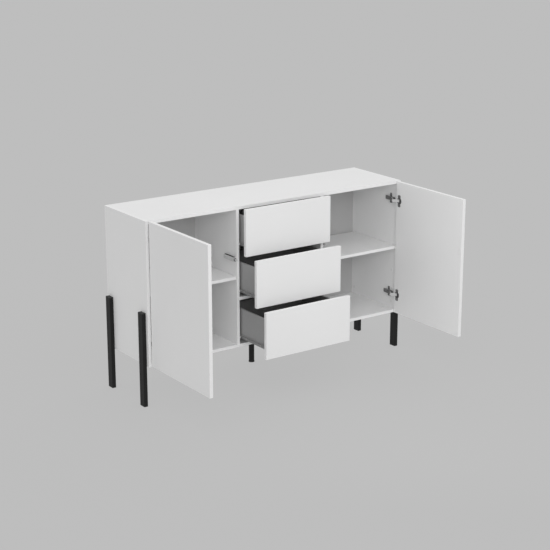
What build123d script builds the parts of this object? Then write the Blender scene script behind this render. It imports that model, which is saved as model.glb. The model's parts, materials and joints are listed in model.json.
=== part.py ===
from build123d import *
import os
from math import atan2, cos, degrees, hypot, radians, sin

os.makedirs("parts", exist_ok=True)

# Driving dimensions in millimetres. The origin is on the floor under the middle leg,
# the carcass is centred on X 0 and its open front faces -Y.

# Carcass boards
carcass_width = 1500.0
carcass_depth = 384.0
carcass_height = 700.0
floor_gap = 200.0
board = 15.0
drawer_bay = 484.0
edge_bevel = 0.8
back_sheet = 3.0
back_inset = 11.0
groove_depth = 7.0
groove_play = 0.2

# Shelves and the rail between the two lower drawers
shelf_top = 356.0
shelf_play = 1.0
shelf_setback = 5.0
shelf_back_gap = 8.0
rail_top = 252.5
rail_depth = 90.0

# Fronts, which cover the front edges of the carcass
front_board = 18.0
front_gap = 2.0
front_reveal = 1.5
front_joint = 3.0
drawer_joint = 2.0
top_front_drop = 1.5

# Drawers, pulled out as they stand in the photograph
drawer_pull = {"top": 49.0, "middle": 136.5, "bottom": 215.5}
drawer_length = 350.0
drawer_side_gap = 12.5
drawer_board = 12.0
drawer_side_height = 148.0
drawer_lift = 40.0
drawer_side_round = 3.0
drawer_sheet = 3.0
drawer_sheet_lift = 12.0
drawer_groove = 6.0

# Roller runners
runner_steel = 1.2
runner_flange = 10.5
runner_web = 15.0
runner_play = 0.25
runner_setback = 5.0
track_gap = 1.5
flange_near = 2.2
roller_radius = 8.0
roller_width = 7.0
roller_near = 2.5
roller_bore_play = 0.05
axle_radius = 2.5
front_roller_setback = 14.0
rear_roller_setback = 12.0

# Outer legs, bolted to the outside of the carcass
leg_width = 20.0
leg_depth = 40.0
leg_height = 460.0
leg_setback = 18.0
leg_wall = 1.5
leg_round = 2.0
leg_cap = 4.0
leg_plug = 12.0
plug_play = 0.3
leg_bolt_heights = (250.0, 420.0)
bolt_radius = 3.0
bolt_head_radius = 6.5
bolt_head = 4.0
bolt_reach = 10.0

# Round leg under the middle
centre_leg_setback = 65.0
centre_leg_radius = 14.0
centre_leg_wall = 1.5
centre_plate = 70.0
centre_plate_steel = 2.0
centre_plate_round = 8.0
centre_foot_radius = 15.2
centre_foot = 14.0

# Fittings that hold the boards together and carry the shelves
cam_radius = 7.5
cam_depth = 12.5
cam_setback = 34.0
cam_spread = 130.0
fitting_play = 0.3
pin_radius = 2.5
peg_radius = 3.5
pin_bite = 9.0
peg_length = 9.0
pin_spread = 130.0

# Concealed hinges: the arm pivot is measured from the carcass side and front, the cup
# pivot from the door's edge and inner face, and the link turns back as the door opens
hinge_inset = 100.0
arm_pivot_offset = 33.0
arm_pivot_setback = 4.0
cup_pivot_edge = 15.6
cup_pivot_depth = 3.0
door_open = 90.0
link_turn_per_door_turn = -0.41
hinge_pin_radius = 2.0
hinge_pin_play = 0.05
link_eye = 3.5
link_bar = 2.6
link_half_width = 7.0
arm_half_width = 9.0
arm_steel = 1.6
arm_rear_radius = 4.0
arm_front_radius = 4.5
arm_rear_offset = 8.0
arm_length = 80.0
arm_straight = 42.0
arm_cap = 1.4
arm_cap_round = 3.0
plate_steel = 2.0
plate_length = 66.0
plate_height = 52.0
plate_wing = 14.0
plate_rib = 12.0
plate_round = 4.0
cup_radius = 17.2
cup_bore_radius = 17.5
cup_edge = 22.5
cup_depth = 11.5
cup_bore_depth = 12.0
cup_steel = 1.2
cup_flange_height = 62.0
cup_flange_width = 20.0
cup_flange_round = 6.0
cup_notch_length = 13.0
cup_notch_depth = 2.5

# Push latches
latch_height = 441.5
latch_length = 90.0
latch_body_height = 21.0
latch_body_depth = 13.0
latch_setback = 4.0
latch_round = 4.0
latch_cap = 1.0
latch_cap_margin = 2.0
latch_cap_round = 1.5
plunger_radius = 4.5
plunger_out = 16.0
plunger_in = 40.0
plunger_stroke = 13.0
plunger_chamfer = 1.2
strike_width = 16.0
strike_height = 40.0
strike_steel = 1.2
strike_round = 4.0

# Positions worked out from the dimensions
x_out = carcass_width / 2
x_in = x_out - board
bay_in = drawer_bay / 2
bay_out = bay_in + board
y_middle = -centre_leg_setback
y_front = y_middle - carcass_depth / 2
y_back = y_middle + carcass_depth / 2
z_low = floor_gap
z_high = floor_gap + carcass_height
inner_low = z_low + board
inner_high = z_high - board
y_sheet = y_back - back_inset - back_sheet
y_front_back = y_front - front_gap
front_width = (carcass_width - 2 * front_reveal - 2 * front_joint) / 3
door_height = carcass_height - 2 * front_reveal
drawer_height = (door_height - 2 * drawer_joint) / 3
door_low = z_low + front_reveal
side_x = bay_in - drawer_side_gap
leg_spread = carcass_depth / 2 - leg_setback - leg_depth / 2
leg_ys = (y_middle - leg_spread, y_middle + leg_spread)
cam_ys = (y_middle - cam_spread, y_middle + cam_spread)
pin_ys = (y_middle - pin_spread, y_middle + pin_spread)
hinge_heights = (z_low + hinge_inset, z_high - hinge_inset)
shelf_z = z_low + shelf_top
latch_z = z_low + latch_height
sides = (("left", -1), ("right", 1))
drawers = ("bottom", "middle", "top")

# Runner heights above a drawer side's lower edge, and distances from the partition
flange_low = runner_web - runner_steel
roller_rise = flange_low - roller_radius - runner_play
track_low = roller_rise - roller_radius - runner_play
track_high = runner_web + track_gap
web_near = drawer_side_gap - runner_steel
runner_start = y_front + runner_setback

# Where the hinge leaves an open door, on the right-hand side of the carcass
arm_pivot = (x_in - arm_pivot_offset, y_front + arm_pivot_setback)
shut_cup_pivot = (x_out - front_reveal - cup_pivot_edge, y_front_back - cup_pivot_depth)
link_reach = (shut_cup_pivot[0] - arm_pivot[0], shut_cup_pivot[1] - arm_pivot[1])
link_length = hypot(*link_reach)
link_angle = degrees(atan2(link_reach[1], link_reach[0])) + link_turn_per_door_turn * door_open
cup_pivot = (
    arm_pivot[0] + link_length * cos(radians(link_angle)),
    arm_pivot[1] + link_length * sin(radians(link_angle)),
)
door_face = cup_pivot[0] - cup_pivot_depth
door_edge = cup_pivot[1] + cup_pivot_edge


def finish(piece, name):
    """Label a finished piece and write it as one STEP file."""
    piece.part.label = name
    export_step(piece.part, f"parts/{name}.step")


def add_board(x, y, z, mode=Mode.ADD):
    """Add a board between two values on each axis to the piece being built."""
    with Locations([((x[0] + x[1]) / 2, (y[0] + y[1]) / 2, (z[0] + z[1]) / 2)]):
        Box(abs(x[1] - x[0]), abs(y[1] - y[0]), abs(z[1] - z[0]), mode=mode)


def add_rod(start, direction, radius, length, mode=Mode.ADD):
    """Add a round rod, or cut a round hole, from a start point along a direction."""
    with Locations([Plane(origin=start, z_dir=direction)]):
        Cylinder(radius, length, align=(Align.CENTER, Align.CENTER, Align.MIN), mode=mode)


def cut_back_groove(x, z):
    """Cut the slot that holds the back sheet."""
    y = (y_sheet - groove_play, y_sheet + back_sheet + groove_play)
    add_board(x, y, z, mode=Mode.SUBTRACT)


# Side boards, bored for the legs and the shelf pins
for name, side in sides:
    with BuildPart() as side_board:
        add_board((side * x_in, side * x_out), (y_front, y_back), (z_low, z_high))
        outer = side_board.faces().sort_by(Axis.X)[-1 if side > 0 else 0]
        chamfer(outer.edges(), edge_bevel)
        groove = (side * x_in, side * (x_in + groove_depth))
        cut_back_groove(groove, (inner_low - groove_depth, inner_high + groove_depth))
        for y in leg_ys:
            for z in leg_bolt_heights:
                with Locations([Plane(origin=(side * x_in, y, z), z_dir=(-side, 0, 0))]):
                    CounterBoreHole(
                        bolt_radius + fitting_play,
                        bolt_head_radius + fitting_play,
                        bolt_head,
                        depth=board + bolt_head,
                    )
        for y in pin_ys:
            z = shelf_z - board - peg_radius
            add_rod((side * x_in, y, z), (side, 0, 0), pin_radius + fitting_play, pin_bite, Mode.SUBTRACT)
    finish(side_board, f"{name}_side_panel")

# Top and bottom boards between the sides, with cam pockets on their inner faces
for name, low, face, inward in (("top", inner_high, inner_high, -1), ("bottom", z_low, inner_low, 1)):
    with BuildPart() as level_board:
        add_board((-x_in, x_in), (y_front, y_back), (low, low + board))
        groove = (face, face - inward * groove_depth)
        cut_back_groove((-x_in, x_in), groove)
        for _, side in sides:
            for y in cam_ys:
                cam_x = side * (x_in - cam_setback)
                add_rod((cam_x, y, face), (0, 0, -inward), cam_radius, cam_depth, Mode.SUBTRACT)
    finish(level_board, f"{name}_panel")

# Upright partitions beside the drawers
for name, side in sides:
    with BuildPart() as partition:
        add_board((side * bay_in, side * bay_out), (y_front, y_sheet), (inner_low, inner_high))
        for face, inward in ((inner_low, 1), (inner_high, -1)):
            for y in cam_ys:
                cam_place = (side * bay_in, y, face + inward * cam_setback)
                add_rod(cam_place, (side, 0, 0), cam_radius, cam_depth, Mode.SUBTRACT)
        for y in pin_ys:
            z = shelf_z - board - peg_radius
            hole = (side * bay_out, y, z)
            add_rod(hole, (-side, 0, 0), pin_radius + fitting_play, pin_bite, Mode.SUBTRACT)
    finish(partition, f"{name}_partition")

# Back sheet, held in the grooves of the four outer boards
with BuildPart() as back_panel:
    tongue = groove_depth - 2 * groove_play
    add_board(
        (-x_in - tongue, x_in + tongue),
        (y_sheet, y_sheet + back_sheet),
        (inner_low - groove_depth, inner_high + tongue),
    )
finish(back_panel, "back_panel")

# Loose shelves behind the doors
for name, side in sides:
    with BuildPart() as shelf:
        add_board(
            (side * (bay_out + shelf_play), side * (x_in - shelf_play)),
            (y_front + shelf_setback, y_sheet - shelf_back_gap),
            (shelf_z - board, shelf_z),
        )
        chamfer(shelf.edges().filter_by(Axis.X).group_by(Axis.Y)[0], edge_bevel)
    finish(shelf, f"{name}_shelf")

# Rail across the drawer bay
with BuildPart() as drawer_rail:
    rail_z = z_low + rail_top
    add_board((-bay_in, bay_in), (y_front, y_front + rail_depth), (rail_z - board, rail_z))
finish(drawer_rail, "drawer_rail")

# Pegs that carry the shelves, four to a shelf
with BuildPart() as shelf_pins:
    for _, side in sides:
        for y in pin_ys:
            z = shelf_z - board - peg_radius
            for wall, away in ((x_in, -side), (bay_out, side)):
                add_rod((side * wall, y, z), (-away, 0, 0), pin_radius, pin_bite - fitting_play)
                add_rod((side * wall, y, z), (away, 0, 0), peg_radius, peg_length)
finish(shelf_pins, "shelf_pins")

# Cam locks in the top, the bottom and the partitions, each on the floor of its pocket
with BuildPart() as cam_locks:
    cam_length = cam_depth - fitting_play
    for face, inward in ((inner_low, 1), (inner_high, -1)):
        for _, side in sides:
            for y in cam_ys:
                seat = (side * (x_in - cam_setback), y, face - inward * cam_depth)
                add_rod(seat, (0, 0, inward), cam_radius - fitting_play, cam_length)
                seat = (side * (bay_in + cam_depth), y, face + inward * cam_setback)
                add_rod(seat, (-side, 0, 0), cam_radius - fitting_play, cam_length)
finish(cam_locks, "cam_locks")

# Outer legs of rectangular tube
for name, side in sides:
    for place, y in zip(("front", "rear"), leg_ys):
        with BuildPart() as leg:
            with BuildSketch(Plane.XY.offset(leg_cap)):
                with Locations((side * (x_out + leg_width / 2), y)):
                    RectangleRounded(leg_width, leg_depth, leg_round)
                    Rectangle(leg_width - 2 * leg_wall, leg_depth - 2 * leg_wall, mode=Mode.SUBTRACT)
            extrude(amount=leg_height - 2 * leg_cap)
            for z in leg_bolt_heights:
                hole = (side * x_out, y, z)
                add_rod(hole, (side, 0, 0), bolt_radius + fitting_play, 2 * leg_wall, Mode.SUBTRACT)
        finish(leg, f"{name}_{place}_leg")


def add_leg_plug(x, y, z, upward):
    """Close one end of a leg with a plate and a plug that fits inside the tube."""
    with BuildSketch(Plane.XY.offset(z)) as plate:
        with Locations((x, y)):
            RectangleRounded(leg_width, leg_depth, leg_round)
    extrude(plate.sketch, amount=upward * leg_cap)
    play = leg_wall + plug_play
    with BuildSketch(Plane.XY.offset(z)) as plug:
        with Locations((x, y)):
            Rectangle(leg_width - 2 * play, leg_depth - 2 * play)
    extrude(plug.sketch, amount=upward * leg_plug)


# Plastic caps that close both ends of each leg, the lower ones standing on the floor
with BuildPart() as leg_caps:
    for _, side in sides:
        for y in leg_ys:
            leg_x = side * (x_out + leg_width / 2)
            add_leg_plug(leg_x, y, 0, 1)
            add_leg_plug(leg_x, y, leg_height, -1)
finish(leg_caps, "leg_end_caps")

# Bolts that hold the legs, with their heads sunk in the side boards
with BuildPart() as leg_bolts:
    for _, side in sides:
        for y in leg_ys:
            for z in leg_bolt_heights:
                seat = side * (x_in + bolt_head)
                add_rod((seat, y, z), (-side, 0, 0), bolt_head_radius, bolt_head - fitting_play)
                add_rod((seat, y, z), (side, 0, 0), bolt_radius, board - bolt_head + bolt_reach)
finish(leg_bolts, "leg_bolts")

# Middle leg: a round tube under a screwed plate
with BuildPart() as centre_leg:
    with BuildSketch(Plane.XY.offset(z_low - centre_plate_steel)):
        RectangleRounded(centre_plate, centre_plate, centre_plate_round)
    extrude(amount=centre_plate_steel)
    with BuildSketch(Plane.XY.offset(centre_foot / 2)):
        Circle(centre_leg_radius)
        Circle(centre_leg_radius - centre_leg_wall, mode=Mode.SUBTRACT)
    extrude(amount=z_low - centre_plate_steel - centre_foot / 2)
finish(centre_leg, "centre_leg")

# Flared plastic foot that plugs into the middle leg
with BuildPart() as centre_foot_cap:
    plug_radius = centre_leg_radius - centre_leg_wall - plug_play
    with BuildSketch(Plane.XZ):
        with BuildLine():
            Polyline(
                (0, 0),
                (centre_foot_radius, 0),
                (centre_foot_radius, centre_foot / 4),
                (centre_leg_radius, centre_foot / 2),
                (plug_radius, centre_foot / 2),
                (plug_radius, 2 * centre_foot),
                (0, 2 * centre_foot),
                close=True,
            )
        make_face()
    revolve(axis=Axis.Z)
finish(centre_foot_cap, "centre_leg_foot")


def drawer_low(drawer):
    """Height of a drawer front's lower edge."""
    return door_low + drawers.index(drawer) * (drawer_height + drawer_joint)


def add_runner(side, base, y, spans):
    """Add bent steel whose section is rectangles from the partition and a drawer side's foot."""
    with BuildSketch(Plane.XZ.offset(-y[1])) as section:
        for (near, far), (low, high) in spans:
            with Locations((side * (bay_in - (near + far) / 2), base + (low + high) / 2)):
                Rectangle(far - near, high - low)
    extrude(section.sketch, amount=y[1] - y[0])


def make_rollers(y, z, name):
    """Make the pair of nylon rollers that turn on one axis at both sides of a drawer."""
    with BuildPart() as rollers:
        for _, side in sides:
            rim = (side * (bay_in - roller_near), y, z)
            add_rod(rim, (-side, 0, 0), roller_radius, roller_width)
            bore = axle_radius + roller_bore_play
            add_rod(rim, (-side, 0, 0), bore, roller_width, Mode.SUBTRACT)
    finish(rollers, name)


# Fixed runner channels on the partitions, each with the stud of its front roller
with BuildPart() as cabinet_runners:
    for drawer in drawers:
        base = drawer_low(drawer) + drawer_lift
        for _, side in sides:
            add_runner(
                side,
                base,
                (runner_start, y_front_back + drawer_length),
                (
                    ((0, runner_steel), (track_low - runner_steel, track_high + runner_steel)),
                    ((0, runner_flange), (track_low - runner_steel, track_low)),
                    ((0, runner_flange), (track_high, track_high + runner_steel)),
                ),
            )
            stud = (side * bay_in, y_front + front_roller_setback, base + roller_rise)
            add_rod(stud, (-side, 0, 0), axle_radius, roller_near + roller_width)
finish(cabinet_runners, "cabinet_runners")

# Drawers: front, two sides, back, bottom sheet, runners and rollers
for drawer in drawers:
    low = drawer_low(drawer)
    base = low + drawer_lift
    y_near = y_front_back - drawer_pull[drawer]
    y_far = y_near + drawer_length
    sheet_low = base + drawer_sheet_lift
    sheet_high = sheet_low + drawer_sheet
    inner_x = side_x - drawer_board

    with BuildPart() as drawer_front:
        width = (-front_width / 2, front_width / 2)
        drop = top_front_drop if drawer == "top" else 0
        add_board(width, (y_near - front_board, y_near), (low, low + drawer_height - drop))
        chamfer(drawer_front.edges(), edge_bevel)
    finish(drawer_front, f"{drawer}_drawer_front")

    for name, side in sides:
        with BuildPart() as drawer_side:
            add_board((side * side_x, side * inner_x), (y_near, y_far), (base, base + drawer_side_height))
            fillet(drawer_side.edges().filter_by(Axis.Y).group_by(Axis.Z)[-1], drawer_side_round)
            groove = (side * inner_x, side * (inner_x + drawer_groove))
            slot = (sheet_low, sheet_high + groove_play)
            add_board(groove, (y_near, y_far), slot, mode=Mode.SUBTRACT)
        finish(drawer_side, f"{drawer}_drawer_{name}_side")

    with BuildPart() as drawer_back:
        top_edge = base + drawer_side_height - drawer_side_round
        add_board((-inner_x, inner_x), (y_far - drawer_board, y_far), (sheet_high, top_edge))
    finish(drawer_back, f"{drawer}_drawer_back")

    with BuildPart() as drawer_bottom:
        reach = inner_x + drawer_groove - groove_play
        add_board((-reach, reach), (y_near, y_far), (sheet_low, sheet_high))
    finish(drawer_bottom, f"{drawer}_drawer_bottom")

    with BuildPart() as drawer_runners:
        for _, side in sides:
            add_runner(
                side,
                base,
                (y_near + runner_setback, y_far),
                (
                    ((web_near, drawer_side_gap), (-runner_steel, runner_web)),
                    ((web_near, drawer_side_gap + drawer_board), (-runner_steel, 0)),
                    ((flange_near, drawer_side_gap), (flange_low, runner_web)),
                ),
            )
            stud = (side * (bay_in - roller_near), y_far - rear_roller_setback, base + roller_rise)
            add_rod(stud, (-side, 0, 0), axle_radius, drawer_side_gap - roller_near)
    finish(drawer_runners, f"{drawer}_drawer_runners")

    make_rollers(y_front + front_roller_setback, base + roller_rise, f"{drawer}_cabinet_rollers")
    make_rollers(y_far - rear_roller_setback, base + roller_rise, f"{drawer}_drawer_rollers")

# Doors, standing open, with two blind bores each for the hinge cups
for name, side in sides:
    with BuildPart() as door:
        add_board(
            (side * door_face, side * (door_face + front_board)),
            (door_edge - front_width, door_edge),
            (door_low, door_low + door_height),
        )
        chamfer(door.edges(), edge_bevel)
        for z in hinge_heights:
            mouth = (side * door_face, door_edge - cup_edge, z)
            add_rod(mouth, (side, 0, 0), cup_bore_radius, cup_bore_depth, Mode.SUBTRACT)
    finish(door, f"{name}_door")

    # Hinge cups: a drawn bowl with a notch for the link, a flange on the door and the pivot pin
    with BuildPart() as hinge_cups:
        for z in hinge_heights:
            mouth = Plane(
                origin=(side * door_face, door_edge - cup_edge, z), x_dir=(0, 1, 0), z_dir=(-side, 0, 0)
            )
            with BuildSketch(mouth):
                Circle(cup_radius)
            extrude(amount=-cup_depth)
            with BuildSketch(mouth):
                RectangleRounded(cup_flange_width, cup_flange_height, cup_flange_round)
            extrude(amount=cup_steel)
            with BuildSketch(mouth.offset(cup_steel)):
                Circle(cup_radius - cup_steel)
            extrude(amount=-cup_depth, mode=Mode.SUBTRACT)
            with BuildSketch(mouth.offset(cup_steel)):
                with Locations((cup_radius, 0)):
                    Rectangle(cup_notch_length, 2 * (link_half_width + fitting_play))
            extrude(amount=-cup_steel - cup_notch_depth, mode=Mode.SUBTRACT)
            pin_offset = cup_edge - cup_pivot_edge
            pin_half = (cup_radius**2 - (pin_offset + hinge_pin_radius) ** 2) ** 0.5
            pin_foot = (side * cup_pivot[0], cup_pivot[1], z - pin_half)
            add_rod(pin_foot, (0, 0, 1), hinge_pin_radius, 2 * pin_half)
    finish(hinge_cups, f"{name}_hinge_cups")

    # Hinge links between the arm pivots and the cup pivots
    with BuildPart() as hinge_links:
        ends = [(side * x, y) for x, y in (arm_pivot, cup_pivot)]
        middle = ((ends[0][0] + ends[1][0]) / 2, (ends[0][1] + ends[1][1]) / 2)
        lean = degrees(atan2(ends[1][1] - ends[0][1], ends[1][0] - ends[0][0]))
        for z in hinge_heights:
            with BuildSketch(Plane.XY.offset(z - link_half_width)):
                with Locations(*ends):
                    Circle(link_eye)
                with Locations(Location((*middle, 0), (0, 0, lean))):
                    Rectangle(link_length, link_bar)
                with Locations(*ends):
                    Circle(hinge_pin_radius + hinge_pin_play, mode=Mode.SUBTRACT)
            extrude(amount=2 * link_half_width)
    finish(hinge_links, f"{name}_hinge_links")

    # Strike plate that meets the push latch
    with BuildPart() as strike_plate:
        latch_x = bay_out + latch_body_depth / 2
        strike_y = door_edge - (x_out - front_reveal - latch_x)
        face = Plane(origin=(side * door_face, strike_y, latch_z), x_dir=(0, 1, 0), z_dir=(-side, 0, 0))
        with BuildSketch(face):
            RectangleRounded(strike_width, strike_height, strike_round)
        extrude(amount=strike_steel)
    finish(strike_plate, f"{name}_strike_plate")

    # Latch plunger, shown sprung out
    with BuildPart() as plunger:
        tip = y_front + latch_setback - plunger_out
        add_rod((side * latch_x, tip, latch_z), (0, 1, 0), plunger_radius, plunger_out + plunger_in)
        chamfer(plunger.faces().sort_by(Axis.Y)[0].edges(), plunger_chamfer)
    finish(plunger, f"{name}_latch_plunger")

# Cross-shaped hinge plates on the carcass sides, each with the rib that carries an arm
with BuildPart() as hinge_plates:
    plate_y = arm_pivot[1] + arm_length - arm_straight / 2 - arm_rear_radius * 2
    rib_top = arm_rear_offset + arm_rear_radius - arm_steel
    for _, side in sides:
        for z in hinge_heights:
            face = Plane(origin=(side * x_in, plate_y, z), x_dir=(0, 1, 0), z_dir=(-side, 0, 0))
            with BuildSketch(face):
                RectangleRounded(plate_length, plate_wing, plate_round)
                RectangleRounded(plate_wing, plate_height, plate_round)
            extrude(amount=plate_steel)
            rib = (arm_pivot[1] + arm_length - arm_straight, arm_pivot[1] + arm_length)
            add_board((side * x_in, side * (x_in - rib_top)), rib, (z - plate_rib / 2, z + plate_rib / 2))
finish(hinge_plates, "hinge_plates")


def arm_outline(side, plane, shift):
    """Outline of a goose-neck hinge arm seen from above, moved towards the carcass side."""
    rear_x = side * (x_in - arm_rear_offset + shift)
    rear = (rear_x, arm_pivot[1] + arm_length)
    neck = (rear_x, rear[1] - arm_straight)
    front = (side * (arm_pivot[0] + shift), arm_pivot[1])
    with BuildSketch(plane) as straight:
        with Locations(rear, neck):
            Circle(arm_rear_radius)
        make_hull()
    with BuildSketch(plane) as outline:
        with Locations(neck):
            Circle(arm_rear_radius)
        with Locations(front):
            Circle(arm_front_radius)
        make_hull()
        add(straight.sketch)
    return outline.sketch


# Hinge arms: a folded channel that is open towards the carcass side, with the pivot pin
with BuildPart() as hinge_arms:
    pocket_half = link_half_width + fitting_play
    for _, side in sides:
        for z in hinge_heights:
            extrude(arm_outline(side, Plane.XY.offset(z - arm_half_width), 0), amount=2 * arm_half_width)
            pocket = Plane.XY.offset(z - pocket_half)
            extrude(arm_outline(side, pocket, arm_steel), amount=2 * pocket_half, mode=Mode.SUBTRACT)
            with BuildSketch(pocket) as mouth:
                with Locations((side * arm_pivot[0], arm_pivot[1])):
                    Circle(arm_front_radius + arm_steel)
            extrude(mouth.sketch, amount=2 * pocket_half, mode=Mode.SUBTRACT)
            foot = (side * arm_pivot[0], arm_pivot[1], z - arm_half_width)
            add_rod(foot, (0, 0, 1), hinge_pin_radius, 2 * arm_half_width)
finish(hinge_arms, "hinge_arms")

# Cover caps on the straight rear parts of the arms
with BuildPart() as hinge_arm_caps:
    cap_x = x_in - arm_rear_offset - arm_rear_radius
    cap_y = arm_pivot[1] + arm_length - arm_straight / 2
    for _, side in sides:
        for z in hinge_heights:
            face = Plane(origin=(side * cap_x, cap_y, z), x_dir=(0, 1, 0), z_dir=(-side, 0, 0))
            with BuildSketch(face):
                RectangleRounded(arm_straight - 2 * arm_rear_radius, 2 * arm_half_width, arm_cap_round)
            extrude(amount=arm_cap)
finish(hinge_arm_caps, "hinge_arm_caps")

# Push latch housings on the outer faces of the partitions
with BuildPart() as latch_bodies:
    for _, side in sides:
        middle_y = y_front + latch_setback + latch_length / 2
        face = Plane(origin=(side * bay_out, middle_y, latch_z), x_dir=(0, 1, 0), z_dir=(side, 0, 0))
        with BuildSketch(face) as housing:
            RectangleRounded(latch_length, latch_body_height, latch_round)
        extrude(housing.sketch, amount=latch_body_depth)
        latch_x = bay_out + latch_body_depth / 2
        mouth = (side * latch_x, y_front + latch_setback, latch_z)
        bore = plunger_in + plunger_stroke + latch_setback
        add_rod(mouth, (0, 1, 0), plunger_radius + fitting_play, bore, Mode.SUBTRACT)
finish(latch_bodies, "latch_bodies")

# Dark covers on top of the latch housings
with BuildPart() as latch_covers:
    for _, side in sides:
        with BuildSketch(Plane.XY.offset(latch_z + latch_body_height / 2)):
            with Locations((side * latch_x, middle_y)):
                width = latch_body_depth - 2 * latch_cap_margin
                RectangleRounded(width, latch_length - 2 * latch_round, latch_cap_round)
        extrude(amount=latch_cap)
finish(latch_covers, "latch_covers")
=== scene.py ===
import json
from math import cos, pi, radians, sin

import bmesh
import bpy
from mathutils import Euler, Matrix, Vector


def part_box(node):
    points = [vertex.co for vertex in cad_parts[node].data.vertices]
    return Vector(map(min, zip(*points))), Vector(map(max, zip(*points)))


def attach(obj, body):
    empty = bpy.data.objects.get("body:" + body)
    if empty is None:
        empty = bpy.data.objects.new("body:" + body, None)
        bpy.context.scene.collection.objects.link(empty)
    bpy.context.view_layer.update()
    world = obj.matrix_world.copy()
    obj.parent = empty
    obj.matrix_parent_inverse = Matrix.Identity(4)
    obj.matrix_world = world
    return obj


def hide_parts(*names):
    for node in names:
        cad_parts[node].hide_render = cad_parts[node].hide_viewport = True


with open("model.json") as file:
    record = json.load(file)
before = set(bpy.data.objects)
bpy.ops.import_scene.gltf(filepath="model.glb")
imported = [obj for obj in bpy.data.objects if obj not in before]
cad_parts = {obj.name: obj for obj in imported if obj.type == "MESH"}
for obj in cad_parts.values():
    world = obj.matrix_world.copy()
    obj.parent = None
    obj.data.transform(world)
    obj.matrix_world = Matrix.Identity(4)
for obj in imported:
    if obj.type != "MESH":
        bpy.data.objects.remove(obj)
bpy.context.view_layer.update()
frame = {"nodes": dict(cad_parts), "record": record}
nodes = frame["nodes"]
mm = 0.001
sides = (("left", -1), ("right", 1))
drawers = ("top", "middle", "bottom")
x_axis, y_axis, z_axis = range(3)

# Camera: place and clip end in metres, angles in degrees, lens and sensor in millimetres
camera_place = Vector((-3.8522, -5.6899, 2.4699))
camera_yaw = 35.1
camera_pitch = 16.3
camera_lens = 93.05
camera_sensor = 36.0
camera_clip_end = 240.0

# Floor: display greys from 0 to 255, half its width in metres and the share of glow in its light
floor_grey = 190
floor_albedo_grey = 203
floor_half = 60.0
floor_glow = 0.86

# Distant soft lights: name, direction towards it, strength, and width in degrees
soft_lights = (
    ("above", (0.0, 0.0, 1.0), 0.62, 120.0),
    ("front_high", (-0.18, -0.36, 0.39), 0.26, 50.0),
    ("front_left", (-0.5, -0.8, 0.33), 0.38, 16.0),
    ("right_rear", (0.8, 0.5, 0.3), 0.36, 90.0),
)

# A square softbox before the drawers, turned to the right door: metres and watts
softbox_place = Vector((-0.2, -1.6, 1.1))
softbox_aim = Vector((0.72, -0.5, 0.7))
softbox_size = 1.0
softbox_power = 3.4

# Display greys, or red, green and blue, from 0 to 255: a pair is the two ends of a mottled tone
white_face = (240, 243)
white_band = (245, 248)
white_scuff = 216
# The back's front print is greyer than the boards: part print, part painted shade
back_print_and_shade = (187, 193)
back_fibre = ((134, 99, 66), (166, 128, 90))
back_cloud = (120, 88, 60)
drawer_foil = (158, 168)
# The drawers' inner grey is painted shade, darker than their outer foil
drawer_inside_painted_shade = (116, 126)
drawer_cloud = 152
drawer_rub = 180
black_coat = (20, 26)
black_rub = 48
zinc_cast = ((196, 197, 202), (204, 200, 188))
zinc_dull = 168

# Plastics: two greys and roughness
plastics = {
    "black_plastic": ((28, 34), 0.6),
    "nylon": ((230, 235), 0.4),
    "latch_plastic": ((206, 213), 0.46),
}

# Coated steels: two greys, and the grey of the tracks in the coat
coated_steels = {
    "runner_steel": ((140, 149), 122),
    "white_steel": ((237, 241), 228),
}

# Plated steels: two greys, roughness and metallic share
plated_steels = {
    "hinge_steel": ((216, 228), 0.4, 0.5),
    "dark_hinge_steel": ((116, 132), 0.45, 0.35),
    "hinge_arm_steel": ((128, 144), 0.45, 0.4),
}

# CAD nodes that look different from the rest of their material slot
node_finishes = {"hinge_arms": "hinge_arm_steel"}

# Repeats in a metre: the screen marks of the back, and the threads of the drawers' linen print
screen_marks = 650
linen_threads = 900

# Hinge sizes that the frame doesn't give, in metres like those below
plate_steel = 2.0 * mm
plate_screw_reach = 19.0 * mm
cup_flange_height = 62.0 * mm
cup_flange_steel = 1.2 * mm
cup_screw_reach = 24.0 * mm
cup_pin_from_middle = 6.9 * mm
cup_pin_depth = 3.0 * mm
arm_pivot_inset = 3.5 * mm
arm_half_width = 9.0 * mm
spring_start = 7.6 * mm
spring_length = 5.0 * mm
spring_turns = 4
spring_steps_per_turn = 12
spring_radius = 2.7 * mm
spring_wire = 0.4 * mm

# Latch sizes
strike_screw_reach = 13.0 * mm
latch_screw_inset = 16.0 * mm
latch_collar_radii = (5.0 * mm, 7.4 * mm)
latch_collar_heights = (1.05 * mm, 1.5 * mm)

# Drawer and runner sizes
runner_web = 1.2 * mm
runner_screws = (60.0 * mm, 180.0 * mm, 290.0 * mm)
runner_screw_rise = 6.5 * mm
drawer_gap = 12.5 * mm
roller_rise = 5.55 * mm
roller_near = 2.5 * mm
roller_width = 7.0 * mm
front_roller_setback = 14.0 * mm
rear_roller_setback = 12.0 * mm
drawer_joint_rises = (45.0 * mm, 112.0 * mm)
drawer_back_board = 12.0 * mm
drawer_cam_setback = 34.0 * mm
# Reach from the middle along X within which the drawers' faces get painted shade
painted_shade_edge = 219.0 * mm

# Sizes of carcass fittings
leg_bolt_head = 6.5 * mm
cam_radius = 7.2 * mm
cam_setback = 34.0 * mm
cam_depth = 12.5 * mm
cam_length = 12.2 * mm
cam_chamfer = 0.5 * mm
cam_recess = (4.6 * mm, 1.0 * mm)
cam_recess_depth = 3.2 * mm
pin_bite = 8.7 * mm
pin_peg_radius = 3.5 * mm
centre_plate_steel = 2.0 * mm
centre_screw_spread = 25.0 * mm
centre_tube_radius = 14.0 * mm
weld_leg = 2.6 * mm
weld_ripple = 0.04
weld_ripples = 24
nail_rows = 5

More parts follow.
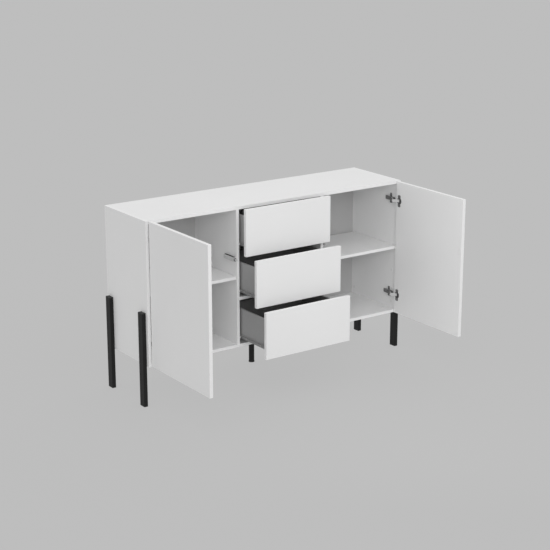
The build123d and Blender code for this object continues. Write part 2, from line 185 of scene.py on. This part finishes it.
# Shelf pin: radius and height in millimetres, from its end in the wall to its tip
pin_outline = (
    (2.2, 0.0), (2.5, 0.6), (2.5, 8.7), (4.4, 8.7),
    (4.4, 9.3), (3.5, 9.5), (3.5, 17.1), (2.9, 17.7),
)

# Section of the weld bead, out from the tube and down from the plate, as shares of weld_leg
weld_section = ((0.0, 0.0), (1.0, 0.0), (0.4, 0.6), (0.0, 1.0))

# Heads: radius and height
plate_screw_head = (4.0 * mm, 1.6 * mm)
arm_rivet_head = (2.8 * mm, 0.8 * mm)
cup_screw_head = (3.6 * mm, 0.8 * mm)
strike_screw_head = (2.6 * mm, 0.5 * mm)
latch_screw_head = (2.6 * mm, 1.1 * mm)
plunger_button = (2.9 * mm, 0.7 * mm)
runner_screw_head = (3.4 * mm, 0.6 * mm)
cabinet_rivet_head = (3.8 * mm, 0.7 * mm)
drawer_rivet_head = (3.8 * mm, 0.6 * mm)
drawer_screw_head = (3.5 * mm, 0.5 * mm)
drawer_cam_head = (6.0 * mm, 0.6 * mm)
centre_screw_head = (4.2 * mm, 2.2 * mm)
nail_head = (2.6 * mm, 0.6 * mm)
cover_cap = (8.6 * mm, 1.2 * mm)

# Styles of head: the outline from the foot up, as shares of radius and height, and the cross
# recess, its reach and half width as shares of the radius and its depth as a share of the height
pan_style = (((1.0, 0.0), (1.0, 0.4), (0.88, 0.8), (0.66, 1.0)), (0.5, 0.13, 0.7))
flat_style = (((1.0, 0.0), (1.0, 0.6), (0.9, 1.0)), (0.55, 0.13, 0.8))
rivet_style = (((1.0, 0.0), (0.95, 0.4), (0.75, 0.8), (0.4, 1.0)), None)
cap_style = (((1.0, 0.0), (1.0, 0.5), (0.95, 0.85), (0.8, 1.0)), None)
recess_taper = 0.75

# Mesh density and shading
turned_sides = 24
weld_sides = 72
wire_sides = 8
smooth_below = radians(32)


def linear(grey):
    """Light value of an sRGB display grey from 0 to 255."""
    share = grey / 255
    return share / 12.92 if share <= 0.04045 else ((share + 0.055) / 1.055) ** 2.4


def tone(display):
    """Shader colour of a display grey, or of a display red, green and blue."""
    red, green, blue = display if isinstance(display, tuple) else (display,) * 3
    return (linear(red), linear(green), linear(blue), 1.0)


# Camera, light and floor


def make_camera():
    """Put the camera at the photograph's place and angle."""
    data = bpy.data.cameras.new("camera")
    data.lens = camera_lens
    data.sensor_width = camera_sensor
    data.clip_end = camera_clip_end
    camera = bpy.data.objects.new("camera", data)
    camera.location = camera_place
    camera.rotation_euler = Euler((radians(90 - camera_pitch), 0, radians(-camera_yaw)))
    bpy.context.scene.collection.objects.link(camera)
    bpy.context.scene.camera = camera


def add_light(data, place, towards):
    """Put a light at a place, with towards as the direction from the part to the light."""
    light = bpy.data.objects.new(data.name, data)
    light.location = place
    light.rotation_euler = towards.to_track_quat("Z", "Y").to_euler()
    light.visible_camera = False
    bpy.context.scene.collection.objects.link(light)


def make_light():
    """Light the part with a grey dome, distant soft lights and a softbox."""
    world = bpy.data.worlds.new("dome")
    world.use_nodes = True
    world.node_tree.nodes["Background"].inputs["Color"].default_value = tone(floor_grey)
    bpy.context.scene.world = world
    for name, towards, strength, width in soft_lights:
        data = bpy.data.lights.new(name, "SUN")
        data.energy = strength
        data.angle = radians(width)
        # Any place will do for a distant light
        add_light(data, softbox_place, Vector(towards))
    data = bpy.data.lights.new("softbox", "AREA")
    data.energy = softbox_power
    data.size = softbox_size
    add_light(data, softbox_place, softbox_place - softbox_aim)
    bpy.context.scene.view_settings.view_transform = "Standard"


def make_floor():
    """Lay a wide pale floor whose glow keeps the shadow under the part light."""
    mesh = bpy.data.meshes.new("floor")
    signs = ((-1, -1), (1, -1), (1, 1), (-1, 1))
    corners = [(x * floor_half, y * floor_half, 0) for x, y in signs]
    mesh.from_pydata(corners, [], [(0, 1, 2, 3)])
    floor = bpy.data.objects.new("floor", mesh)
    bpy.context.scene.collection.objects.link(floor)
    material = bpy.data.materials.new("floor")
    material.use_nodes = True
    material.cycles.emission_sampling = "NONE"
    tree = material.node_tree
    tree.nodes.clear()
    matt = tree.nodes.new("ShaderNodeBsdfDiffuse")
    matt.inputs["Color"].default_value = tone(floor_albedo_grey)
    glow = tree.nodes.new("ShaderNodeEmission")
    glow.inputs["Color"].default_value = tone(floor_grey)
    blend = tree.nodes.new("ShaderNodeMixShader")
    blend.inputs["Fac"].default_value = floor_glow
    out = tree.nodes.new("ShaderNodeOutputMaterial")
    tree.links.new(matt.outputs[0], blend.inputs[1])
    tree.links.new(glow.outputs[0], blend.inputs[2])
    tree.links.new(blend.outputs[0], out.inputs["Surface"])
    mesh.materials.append(material)


# Materials


class Surface:
    """A material being made: a Principled shader and the nodes that feed it."""

    def __init__(self, name, metallic=0.0):
        self.material = bpy.data.materials.new(name)
        self.material.use_nodes = True
        self.tree = self.material.node_tree
        self.shader = self.tree.nodes["Principled BSDF"]
        self.shader.inputs["Metallic"].default_value = metallic
        self.coordinates = self.add("ShaderNodeTexCoord")

    def feed(self, socket, value):
        """Set an input socket to a value, or link it to another node's socket."""
        if isinstance(value, bpy.types.NodeSocket):
            self.tree.links.new(value, socket)
        else:
            socket.default_value = value

    def add(self, kind, inputs=None, **settings):
        """Add a node with its settings, and feed its inputs."""
        node = self.tree.nodes.new(kind)
        for name, value in settings.items():
            setattr(node, name, value)
        for key, value in (inputs or {}).items():
            self.feed(node.inputs[key], value)
        return node

    def noise(self, scale, detail, stretch=(1.0, 1.0, 1.0)):
        """Noise from 0 to 1 with grains of about 1/scale metres, finer along larger stretches."""
        place = self.coordinates.outputs["Object"]
        mapped = self.add("ShaderNodeMapping", {"Vector": place, "Scale": stretch})
        inputs = {"Vector": mapped.outputs["Vector"], "Scale": scale, "Detail": detail}
        return self.add("ShaderNodeTexNoise", inputs).outputs["Fac"]

    def spread(self, value, low=0.0, high=1.0, start=0.3, end=0.7):
        """Stretch a value so that start to end becomes low to high."""
        inputs = {
            "Value": value,
            "From Min": start,
            "From Max": end,
            "To Min": low,
            "To Max": high,
        }
        return self.add("ShaderNodeMapRange", inputs).outputs["Result"]

    def maths(self, operation, first, second=0.0):
        """Work out one number from one or two."""
        node = self.add("ShaderNodeMath", {0: first, 1: second}, operation=operation)
        return node.outputs["Value"]

    def mix(self, share, first, second):
        """Mix two colours: all of the first where share is 0, and of the second where it is 1."""
        node = self.add("ShaderNodeMix", data_type="RGBA")
        inputs = {socket.identifier: socket for socket in node.inputs}
        wanted = {"Factor_Float": share, "A_Color": first, "B_Color": second}
        for key, value in wanted.items():
            self.feed(inputs[key], value)
        return next(socket for socket in node.outputs if socket.identifier == "Result_Color")

    def between(self, share, pair):
        """Mix the two display tones of a pair."""
        return self.mix(share, tone(pair[0]), tone(pair[1]))

    def mottled(self, pair, scale, detail):
        """A colour that drifts in clouds between the two display tones of a pair."""
        return self.between(self.spread(self.noise(scale, detail)), pair)

    def facing(self, axis):
        """The part of the surface's own normal along an axis, from -1 to 1."""
        normal = self.coordinates.outputs["Normal"]
        return self.add("ShaderNodeSeparateXYZ", {0: normal}).outputs[axis]

    def place(self, axis):
        """The coordinate along an axis, in metres."""
        place = self.coordinates.outputs["Object"]
        return self.add("ShaderNodeSeparateXYZ", {0: place}).outputs[axis]

    def waves(self, axis, count):
        """A sine along an axis, count waves to the metre, from -1 to 1."""
        turns = self.maths("MULTIPLY", self.place(axis), 2 * pi * count)
        return self.maths("SINE", turns)

    def wear(self, width):
        """1 on edges, within about width of them, and 0 on flat ground."""
        rounded = self.add("ShaderNodeBevel", {"Radius": width}, samples=4).outputs["Normal"]
        true = self.add("ShaderNodeNewGeometry").outputs["Normal"]
        dot = self.add("ShaderNodeVectorMath", {0: rounded, 1: true}, operation="DOT_PRODUCT")
        return self.spread(dot.outputs["Value"], low=1.0, high=0.0, start=0.8, end=0.99)

    def colour(self, socket):
        """Feed the shader's colour."""
        self.feed(self.shader.inputs["Base Color"], socket)

    def roughness(self, value, low, high):
        """Feed the shader's roughness with a noise value spread from low to high."""
        self.feed(self.shader.inputs["Roughness"], self.spread(value, low, high))

    def relief(self, height, depth):
        """Feed the shader's normal with a relief that is about depth metres deep."""
        bump = self.add("ShaderNodeBump", {"Height": height, "Strength": 1.0, "Distance": depth})
        self.feed(self.shader.inputs["Normal"], bump.outputs["Normal"])


def white_board(axis):
    """Satin white foil on board whose thickness is along axis, with a lighter band on its edges."""
    surface = Surface("white_board_" + "xyz"[axis])
    face = surface.mottled(white_face, scale=2.2, detail=4)
    band = surface.mottled(white_band, scale=30, detail=3)
    across = surface.maths("ABSOLUTE", surface.facing(axis))
    on_face = surface.maths("GREATER_THAN", across, 0.7)
    board = surface.mix(on_face, band, face)
    patches = surface.spread(surface.noise(scale=45, detail=4), high=0.5)
    scuffed = surface.maths("MULTIPLY", surface.wear(0.8 * mm), patches)
    surface.colour(surface.mix(scuffed, board, tone(white_scuff)))
    surface.roughness(surface.noise(scale=90, detail=5), low=0.36, high=0.48)
    coarse, fine = surface.noise(scale=700, detail=2), surface.noise(scale=2600, detail=1)
    surface.relief(surface.maths("ADD", coarse, fine), 0.012 * mm)
    return surface.material


def back_board():
    """Hardboard with a white printed front, greyed as painted shade, and a bare brown rear that
    shows its screen marks.
    """
    surface = Surface("back_board")
    # The front's grey white is partly print and partly painted shade
    white = surface.mottled(back_print_and_shade, scale=3, detail=3)
    fibres = surface.noise(scale=160, detail=6, stretch=(1.0, 1.0, 2.6))
    clouds = surface.spread(surface.noise(scale=5, detail=3))
    brown = surface.between(surface.spread(fibres), back_fibre)
    brown = surface.mix(surface.maths("MULTIPLY", clouds, 0.35), brown, tone(back_cloud))
    is_front = surface.maths("LESS_THAN", surface.facing(y_axis), -0.5)
    surface.colour(surface.mix(is_front, brown, white))
    surface.roughness(surface.noise(scale=120, detail=4), low=0.5, high=0.72)
    across, upward = surface.waves(x_axis, screen_marks), surface.waves(z_axis, screen_marks)
    screen = surface.maths("MULTIPLY", across, upward)
    surface.relief(surface.maths("ADD", screen, fibres), 0.03 * mm)
    return surface.material


def drawer_board():
    """Foil with a fine linen print on the drawer boxes, grey outside, with painted shade inside: a
    dark grey on the faces within the boxes.
    """
    surface = Surface("drawer_board")
    along, upward = surface.waves(y_axis, linen_threads), surface.waves(z_axis, linen_threads)
    threads = surface.maths("ADD", along, upward)
    slubs = surface.noise(scale=240, detail=4, stretch=(1.0, 0.15, 1.0))
    weave = surface.maths("MULTIPLY", threads, 0.08)
    print_share = surface.maths("ADD", weave, surface.spread(slubs, high=0.8))
    foil = surface.between(print_share, drawer_foil)
    inside_painted_shade = surface.between(print_share, drawer_inside_painted_shade)
    clouds = surface.spread(surface.noise(scale=4, detail=3))
    foil = surface.mix(surface.maths("MULTIPLY", clouds, 0.35), foil, tone(drawer_cloud))
    # Painted shade: faces inside the drawer boxes, near the middle along X, get a darker grey
    from_middle = surface.maths("ABSOLUTE", surface.place(x_axis))
    in_painted_shade = surface.maths("LESS_THAN", from_middle, painted_shade_edge)
    foil = surface.mix(in_painted_shade, foil, inside_painted_shade)
    rubbed = surface.maths("MULTIPLY", surface.wear(1.0 * mm), 0.3)
    surface.colour(surface.mix(rubbed, foil, tone(drawer_rub)))
    surface.roughness(slubs, low=0.46, high=0.62)
    surface.relief(surface.maths("ADD", threads, slubs), 0.01 * mm)
    return surface.material


def black_steel():
    """Black powder coat: a fine pebbled skin, rubbed a little lighter on the edges."""
    surface = Surface("black_steel")
    surface.shader.inputs["Specular IOR Level"].default_value = 0.3
    coat = surface.mottled(black_coat, scale=14, detail=4)
    patches = surface.spread(surface.noise(scale=60, detail=4), low=0.1, high=0.6)
    rubbed = surface.maths("MULTIPLY", surface.wear(1.2 * mm), patches)
    surface.colour(surface.mix(rubbed, coat, tone(black_rub)))
    surface.roughness(surface.noise(scale=200, detail=4), low=0.45, high=0.6)
    fine, coarse = surface.noise(scale=1400, detail=2), surface.noise(scale=500, detail=2)
    surface.relief(surface.maths("ADD", fine, coarse), 0.05 * mm)
    return surface.material


def moulded_plastic(name, greys, rough):
    """Moulded plastic with a spark-eroded grain and faint flow clouds."""
    surface = Surface(name)
    body = surface.mottled(greys, scale=70, detail=3)
    rubbed = surface.maths("MULTIPLY", surface.wear(0.4 * mm), 0.35)
    surface.colour(surface.mix(rubbed, body, tone(min(255, greys[1] + 22))))
    surface.roughness(surface.noise(scale=400, detail=3), rough - 0.07, rough + 0.07)
    surface.relief(surface.noise(scale=3200, detail=2), 0.02 * mm)
    return surface.material


def coated_steel(name, greys, track_grey):
    """Epoxy coat on bent steel, with dull tracks drawn along Y."""
    surface = Surface(name)
    coat = surface.mottled(greys, scale=25, detail=3)
    lines = surface.noise(scale=500, detail=3, stretch=(1.0, 0.02, 1.0))
    tracks = surface.spread(lines, high=0.5, start=0.5, end=0.8)
    surface.colour(surface.mix(tracks, coat, tone(track_grey)))
    haze = surface.noise(scale=300, detail=3, stretch=(1.0, 0.05, 1.0))
    surface.roughness(haze, low=0.28, high=0.44)
    surface.relief(surface.noise(scale=900, detail=2), 0.02 * mm)
    return surface.material


def plated_steel(name, greys, rough, metallic):
    """Plated steel with fine drawing lines along Y and a clouded sheen."""
    surface = Surface(name, metallic)
    lines = surface.noise(scale=1500, detail=3, stretch=(1.0, 0.03, 1.0))
    clouds = surface.noise(scale=120, detail=3)
    drawn, clouded = surface.spread(lines, high=0.6), surface.spread(clouds, high=0.4)
    plate = surface.between(surface.maths("ADD", drawn, clouded), greys)
    bright = surface.maths("MULTIPLY", surface.wear(0.3 * mm), 0.5)
    surface.colour(surface.mix(bright, plate, tone(min(255, greys[1] + 25))))
    haze = surface.maths("MULTIPLY", surface.maths("ADD", lines, clouds), 0.5)
    surface.roughness(haze, rough - 0.08, rough + 0.1)
    surface.relief(lines, 0.006 * mm)
    return surface.material


def zinc():
    """Zinc plate: small spangles, a faint yellow and blue cast and dull patches."""
    surface = Surface("zinc", metallic=1.0)
    cells = {"Vector": surface.coordinates.outputs["Object"], "Scale": 900.0}
    spangle = surface.add("ShaderNodeTexVoronoi", cells).outputs["Distance"]
    cast = surface.mottled(zinc_cast, scale=90, detail=3)
    patches = surface.spread(spangle, high=0.3, start=0.1, end=0.7)
    surface.colour(surface.mix(patches, cast, tone(zinc_dull)))
    surface.roughness(surface.noise(scale=260, detail=4), low=0.3, high=0.5)
    surface.relief(spangle, 0.008 * mm)
    return surface.material


def make_materials():
    """Make the finishes: one or more for each material slot, white boards by their thickness."""
    finishes = {
        "back_board": back_board(),
        "drawer_board": drawer_board(),
        "black_steel": black_steel(),
        "zinc": zinc(),
    }
    families = (
        (moulded_plastic, plastics),
        (coated_steel, coated_steels),
        (plated_steel, plated_steels),
    )
    for make, members in families:
        for name, values in members.items():
            finishes[name] = make(name, *values)
    for axis in (x_axis, y_axis, z_axis):
        finishes["white_board", axis] = white_board(axis)
    return finishes


def paint_nodes(finishes):
    """Give every CAD node its own finish or else the one of its material slot."""
    for part in frame["record"]["subparts"]:
        node = nodes[part["node"]]
        finish = node_finishes.get(part["node"], part["material_slot"])
        if finish == "white_board":
            low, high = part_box(part["node"])
            extent = list(high - low)
            finish = ("white_board", extent.index(min(extent)))
        node.data.materials.clear()
        node.data.materials.append(finishes[finish])


# Mesh tools


def full_turn(count):
    """Angles that divide a full turn into count steps."""
    return [2 * pi * k / count for k in range(count)]


def plus_outline(reach, half_width):
    """Outline of a cross recess."""
    corner = [(reach, -half_width), (reach, half_width), (half_width, half_width)]
    turns = [(1, 0), (0, 1), (-1, 0), (0, -1)]
    return [(x * c - y * s, x * s + y * c) for c, s in turns for x, y in corner]


def close_loop(mesh, first, second):
    """Join two rings of points with quads."""
    for k in range(len(first)):
        mesh.faces.new((first[k - 1], first[k], second[k], second[k - 1]))


def add_ring(mesh, loops):
    """Add a closed ring from loops of places, each joined to the next and the last to the first."""
    rings = [[mesh.verts.new(place) for place in loop] for loop in loops]
    for k in range(len(rings)):
        close_loop(mesh, rings[k - 1], rings[k])


def add_turned(mesh, place, towards, profile, recess=None, recess_depth=0.0):
    """Add a closed turned piece that stands at place and points along towards.

    profile runs from the foot to the top as (radius, height).
    recess is an outline that is sunk in the top.
    """
    turn = Vector(towards).to_track_quat("Z", "Y").to_matrix().to_4x4()
    stand = Matrix.Translation(place) @ turn

    def point(x, y, z):
        return mesh.verts.new(stand @ Vector((x, y, z)))

    angles = full_turn(turned_sides)
    rings = [[point(r * cos(a), r * sin(a), h) for a in angles] for r, h in profile]
    for first, second in zip(rings, rings[1:]):
        close_loop(mesh, first, second)
    mesh.faces.new(rings[0])
    if recess is None:
        mesh.faces.new(rings[-1])
        return
    top = profile[-1][1]
    rim = [point(x, y, top) for x, y in recess]
    sunk = [point(x * recess_taper, y * recess_taper, top - recess_depth) for x, y in recess]
    close_loop(mesh, rim, sunk)
    mesh.faces.new(sunk)
    edges = []
    for ring in (rings[-1], rim):
        edges += [mesh.edges.get((ring[k - 1], ring[k])) for k in range(len(ring))]
    bmesh.ops.triangle_fill(mesh, use_beauty=True, edges=edges)


def add_head(mesh, place, towards, size, style):
    """Add a head of a screw, rivet or cap, of size (radius, height), in one of the styles."""
    radius, height = size
    shape, cross = style
    profile = [(out * radius, up * height) for out, up in shape]
    if cross is None:
        add_turned(mesh, place, towards, profile)
        return
    reach, half_width, depth = cross
    recess = plus_outline(reach * radius, half_width * radius)
    add_turned(mesh, place, towards, profile, recess, depth * height)


def add_wire(mesh, points, axis, radius):
    """Sweep a round wire along points that wind about axis, and close both ends."""
    rings = []
    last = len(points) - 1
    for k, point in enumerate(points):
        along = (points[min(k + 1, last)] - points[max(k - 1, 0)]).normalized()
        across = along.cross(axis).normalized()
        upward = across.cross(along)
        angles = full_turn(wire_sides)
        places = [point + radius * (cos(a) * across + sin(a) * upward) for a in angles]
        rings.append([mesh.verts.new(place) for place in places])
    for first, second in zip(rings, rings[1:]):
        close_loop(mesh, first, second)
    mesh.faces.new(rings[0])
    mesh.faces.new(rings[-1])


def make_piece(name, fill, body, slot, finishes, details=()):
    """Make a piece from a function that fills a mesh, and let it ride on a CAD body."""
    mesh = bmesh.new()
    fill(mesh, *details)
    bmesh.ops.recalc_face_normals(mesh, faces=mesh.faces)
    for face in mesh.faces:
        face.smooth = True
    for edge in mesh.edges:
        edge.smooth = edge.calc_face_angle(0) < smooth_below
    data = bpy.data.meshes.new(name)
    mesh.to_mesh(data)
    mesh.free()
    data.materials.append(finishes[slot])
    piece = bpy.data.objects.new(name, data)
    bpy.context.scene.collection.objects.link(piece)
    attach(piece, body)
    return piece


# Places worked out from the frame


def middle(node):
    """Middle of a CAD node's box."""
    low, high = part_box(node)
    return (low + high) / 2


def inner_x(node, side):
    """The face of a left or right node that looks at the middle of the part."""
    low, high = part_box(node)
    return low.x if side > 0 else high.x


def outer_x(node, side):
    """The face of a left or right node that looks away from the middle of the part."""
    return inner_x(node, -side)


def hinge_heights():
    """Heights of the two hinges of a door."""
    low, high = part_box("left_hinge_cups")
    return low.z + cup_flange_height / 2, high.z - cup_flange_height / 2


def cam_rows():
    """The two places of the cam locks along Y."""
    low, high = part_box("cam_locks")
    return low.y + cam_radius, high.y - cam_radius


def inner_levels():
    """Heights of the inner faces of bottom and top, each with its way into the carcass."""
    return (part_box("bottom_panel")[1].z, 1), (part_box("top_panel")[0].z, -1)


def centre_plate_low():
    """Height of the lower face of the middle leg's plate."""
    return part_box("bottom_panel")[0].z - centre_plate_steel


# Hinge and latch details


def fill_plate_screws(mesh):
    """Two screws through the wings of each hinge plate."""
    y = middle("hinge_plates").y
    for name, side in sides:
        x = inner_x(f"{name}_side_panel", side) - side * plate_steel
        for z in hinge_heights():
            for reach in (-plate_screw_reach, plate_screw_reach):
                place = (x, y, z + reach)
                add_head(mesh, place, (-side, 0, 0), plate_screw_head, pan_style)


def fill_arm_rivets(mesh):
    """Rivet heads on both ends of each arm pivot."""
    for name, side in sides:
        links = f"{name}_hinge_links"
        x = inner_x(links, side) + side * arm_pivot_inset
        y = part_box(links)[1].y - arm_pivot_inset
        for z in hinge_heights():
            for up in (-1, 1):
                place = (x, y, z + up * arm_half_width)
                add_head(mesh, place, (0, 0, up), arm_rivet_head, rivet_style)


def fill_cup_screws(mesh, name, side):
    """Screws through the flanges of one door's hinge cups."""
    x = inner_x(f"{name}_door", side) - side * cup_flange_steel
    y = middle(f"{name}_hinge_cups").y
    for z in hinge_heights():
        for reach in (-cup_screw_reach, cup_screw_reach):
            place = (x, y, z + reach)
            add_head(mesh, place, (-side, 0, 0), cup_screw_head, flat_style)


def fill_cup_springs(mesh, name, side):
    """Coil springs on the pivot pins of one door's hinge cups."""
    x = inner_x(f"{name}_door", side) + side * cup_pin_depth
    y = middle(f"{name}_hinge_cups").y + cup_pin_from_middle
    steps = spring_steps_per_turn * spring_turns
    for z in hinge_heights():
        for up in (-1, 1):
            points = []
            for k in range(steps + 1):
                turn = 2 * pi * spring_turns * k / steps
                height = z + up * (spring_start + spring_length * k / steps)
                across = spring_radius * Vector((cos(turn), sin(turn), 0))
                points.append(Vector((x, y, height)) + across)
            add_wire(mesh, points, Vector((0, 0, 1)), spring_wire)


def fill_strike_screws(mesh, name, side):
    """Two screws in one strike plate."""
    plate = f"{name}_strike_plate"
    spot = middle(plate)
    for reach in (-strike_screw_reach, strike_screw_reach):
        place = (inner_x(plate, side), spot.y, spot.z + reach)
        add_head(mesh, place, (-side, 0, 0), strike_screw_head, flat_style)


def fill_latch_screws(mesh):
    """Two screws in the outer face of each latch housing."""
    low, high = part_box("latch_bodies")
    for _, side in sides:
        for y in (low.y + latch_screw_inset, high.y - latch_screw_inset):
            place = (side * high.x, y, (low.z + high.z) / 2)
            add_head(mesh, place, (side, 0, 0), latch_screw_head, pan_style)


def fill_latch_collars(mesh):
    """A collar round the mouth of each latch, open for its plunger."""
    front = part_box("latch_bodies")[0].y
    inner, outer = latch_collar_radii
    rim, lip = latch_collar_heights
    outline = ((inner, 0), (outer, 0), (outer, rim), (inner, lip))
    for name, _ in sides:
        mouth = middle(f"{name}_latch_plunger")
        loops = []
        for radius, height in outline:
            circle = [(radius * cos(turn), radius * sin(turn)) for turn in full_turn(turned_sides)]
            loops.append([(mouth.x + x, front - height, mouth.z + z) for x, z in circle])
        add_ring(mesh, loops)


def fill_plunger_tip(mesh, name):
    """The rubber button on the tip of one plunger."""
    plunger = f"{name}_latch_plunger"
    spot = middle(plunger)
    place = (spot.x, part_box(plunger)[0].y, spot.z)
    add_head(mesh, place, (0, -1, 0), plunger_button, rivet_style)


# Drawer and runner details


def fill_cabinet_runner_screws(mesh):
    """Screws through the fixed runner channels into the partitions."""
    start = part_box("cabinet_runners")[0].y
    for drawer in drawers:
        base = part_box(f"{drawer}_drawer_left_side")[0].z
        for name, side in sides:
            x = inner_x(f"{name}_partition", side) - side * runner_web
            for reach in runner_screws:
                place = (x, start + reach, base + runner_screw_rise)
                add_head(mesh, place, (-side, 0, 0), runner_screw_head, flat_style)


def fill_cabinet_rivets(mesh):
    """Rivet heads that hold the front rollers on the studs of the fixed channels."""
    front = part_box("left_side_panel")[0].y
    for drawer in drawers:
        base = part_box(f"{drawer}_drawer_left_side")[0].z
        for name, side in sides:
            x = inner_x(f"{name}_partition", side) - side * (roller_near + roller_width)
            place = (x, front + front_roller_setback, base + roller_rise)
            add_head(mesh, place, (-side, 0, 0), cabinet_rivet_head, rivet_style)


def fill_drawer_hardware(mesh, drawer):
    """Screws in one drawer's runners and rivets on the studs of its rear rollers."""
    low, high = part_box(f"{drawer}_drawer_left_side")
    for name, side in sides:
        wall = inner_x(f"{name}_partition", side)
        web = wall - side * (drawer_gap - runner_web)
        for reach in runner_screws:
            place = (web, low.y + reach, low.z + runner_screw_rise)
            add_head(mesh, place, (side, 0, 0), runner_screw_head, flat_style)
        stud = (wall - side * roller_near, high.y - rear_roller_setback, low.z + roller_rise)
        add_head(mesh, stud, (side, 0, 0), drawer_rivet_head, rivet_style)


def fill_drawer_joints(mesh, drawer):
    """The fittings of one drawer box: screws into the back and cams behind the front."""
    for name, side in sides:
        board = f"{drawer}_drawer_{name}_side"
        low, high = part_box(board)
        for rise in drawer_joint_rises:
            screw = (outer_x(board, side), high.y - drawer_back_board / 2, low.z + rise)
            add_head(mesh, screw, (side, 0, 0), drawer_screw_head, flat_style)
            cam = (inner_x(board, side), low.y + drawer_cam_setback, low.z + rise)
            add_head(mesh, cam, (-side, 0, 0), drawer_cam_head, flat_style)


# Carcass fittings


def fill_cover_caps(mesh):
    """White caps over the leg bolts and over the cam locks that show behind the doors."""
    low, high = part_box("leg_bolts")
    bolt_heights = (low.z + leg_bolt_head, high.z - leg_bolt_head)
    for name, side in sides:
        wall = inner_x(f"{name}_side_panel", side)
        for end in ("front", "rear"):
            y = middle(f"{name}_{end}_leg").y
            for z in bolt_heights:
                add_head(mesh, (wall, y, z), (-side, 0, 0), cover_cap, cap_style)
        for y in cam_rows():
            for z, inward in inner_levels():
                place = (wall - side * cam_setback, y, z)
                add_head(mesh, place, (0, 0, inward), cover_cap, cap_style)


def fill_cam_locks(mesh):
    """Cam locks with cross recesses in the top, the bottom and the partitions."""
    profile = (
        (cam_radius, 0),
        (cam_radius, cam_length - cam_chamfer),
        (cam_radius - cam_chamfer, cam_length),
    )
    recess = plus_outline(*cam_recess)
    for y in cam_rows():
        for name, side in sides:
            far = inner_x(f"{name}_side_panel", side) - side * cam_setback
            near = inner_x(f"{name}_partition", side) + side * cam_depth
            for face, inward in inner_levels():
                seat = (far, y, face - inward * cam_depth)
                add_turned(mesh, seat, (0, 0, inward), profile, recess, cam_recess_depth)
                seat = (near, y, face + inward * cam_setback)
                add_turned(mesh, seat, (-side, 0, 0), profile, recess, cam_recess_depth)


def fill_shelf_pins(mesh):
    """Pegs with a collar against the wall, four under each shelf."""
    low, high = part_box("shelf_pins")
    profile = [(radius * mm, height * mm) for radius, height in pin_outline]
    z = low.z + pin_peg_radius
    for name, side in sides:
        walls = (
            (inner_x(f"{name}_side_panel", side) + side * pin_bite, -side),
            (outer_x(f"{name}_partition", side) - side * pin_bite, side),
        )
        for x, towards in walls:
            for y in (low.y + pin_peg_radius, high.y - pin_peg_radius):
                add_turned(mesh, (x, y, z), (towards, 0, 0), profile)


def fill_centre_screws(mesh):
    """Screws under the middle leg's plate."""
    spread = (-centre_screw_spread, centre_screw_spread)
    for x in spread:
        for y in spread:
            place = (x, y, centre_plate_low())
            add_head(mesh, place, (0, 0, -1), centre_screw_head, pan_style)


def fill_weld(mesh):
    """The rippled weld bead between the middle leg's tube and its plate."""
    loops = []
    for out, drop in weld_section:
        loop = []
        for turn in full_turn(weld_sides):
            ripple = 1 + weld_ripple * sin(weld_ripples * turn)
            reach = centre_tube_radius + out * weld_leg * ripple
            height = centre_plate_low() - drop * weld_leg
            loop.append((reach * cos(turn), reach * sin(turn), height))
        loops.append(loop)
    add_ring(mesh, loops)


def fill_back_nails(mesh):
    """Nails through the back sheet into the rear edges of the partitions."""
    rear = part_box("back_panel")[1].y
    for name, _ in sides:
        low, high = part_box(f"{name}_partition")
        for k in range(nail_rows):
            z = low.z + (high.z - low.z) * (k + 0.5) / nail_rows
            place = ((low.x + high.x) / 2, rear, z)
            add_head(mesh, place, (0, 1, 0), nail_head, rivet_style)


# Pieces of the carcass and of each door: name, function that fills the mesh, and material slot
carcass_pieces = (
    ("hinge_plate_screws", fill_plate_screws, "dark_hinge_steel"),
    ("hinge_arm_rivets", fill_arm_rivets, "hinge_steel"),
    ("latch_screws", fill_latch_screws, "zinc"),
    ("latch_collars", fill_latch_collars, "black_plastic"),
    ("cabinet_runner_screws", fill_cabinet_runner_screws, "zinc"),
    ("cabinet_roller_rivets", fill_cabinet_rivets, "zinc"),
    ("centre_plate_screws", fill_centre_screws, "black_steel"),
    ("centre_leg_weld", fill_weld, "black_steel"),
    ("back_nails", fill_back_nails, "zinc"),
    ("cover_caps", fill_cover_caps, "nylon"),
)
door_pieces = (
    ("cup_screws", fill_cup_screws, "dark_hinge_steel"),
    ("cup_springs", fill_cup_springs, "dark_hinge_steel"),
    ("strike_screws", fill_strike_screws, "white_steel"),
)

# CAD nodes with a finer piece in their place, and pieces of each drawer, all of zinc
stand_ins = (("cam_locks", fill_cam_locks), ("shelf_pins", fill_shelf_pins))
drawer_pieces = (("hardware", fill_drawer_hardware), ("joints", fill_drawer_joints))


def make_pieces(finishes):
    """Make every detail piece and let it ride on its CAD body."""
    for name, fill, slot in carcass_pieces:
        make_piece(name, fill, "carcass", slot, finishes)
    for node, fill in stand_ins:
        piece = make_piece(f"{node}_turned", fill, "carcass", "zinc", finishes)
        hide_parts(node)
    for name, side in sides:
        for kind, fill, slot in door_pieces:
            make_piece(f"{name}_{kind}", fill, f"{name}_door", slot, finishes, (name, side))
        tip, plunger = f"{name}_plunger_tip", f"{name}_latch_plunger"
        make_piece(tip, fill_plunger_tip, plunger, "latch_plastic", finishes, (name,))
    for drawer in drawers:
        body = f"{drawer}_drawer"
        for kind, fill in drawer_pieces:
            make_piece(f"{body}_{kind}", fill, body, "zinc", finishes, (drawer,))


make_camera()
make_light()
make_floor()
surface_finishes = make_materials()
paint_nodes(surface_finishes)
make_pieces(surface_finishes)
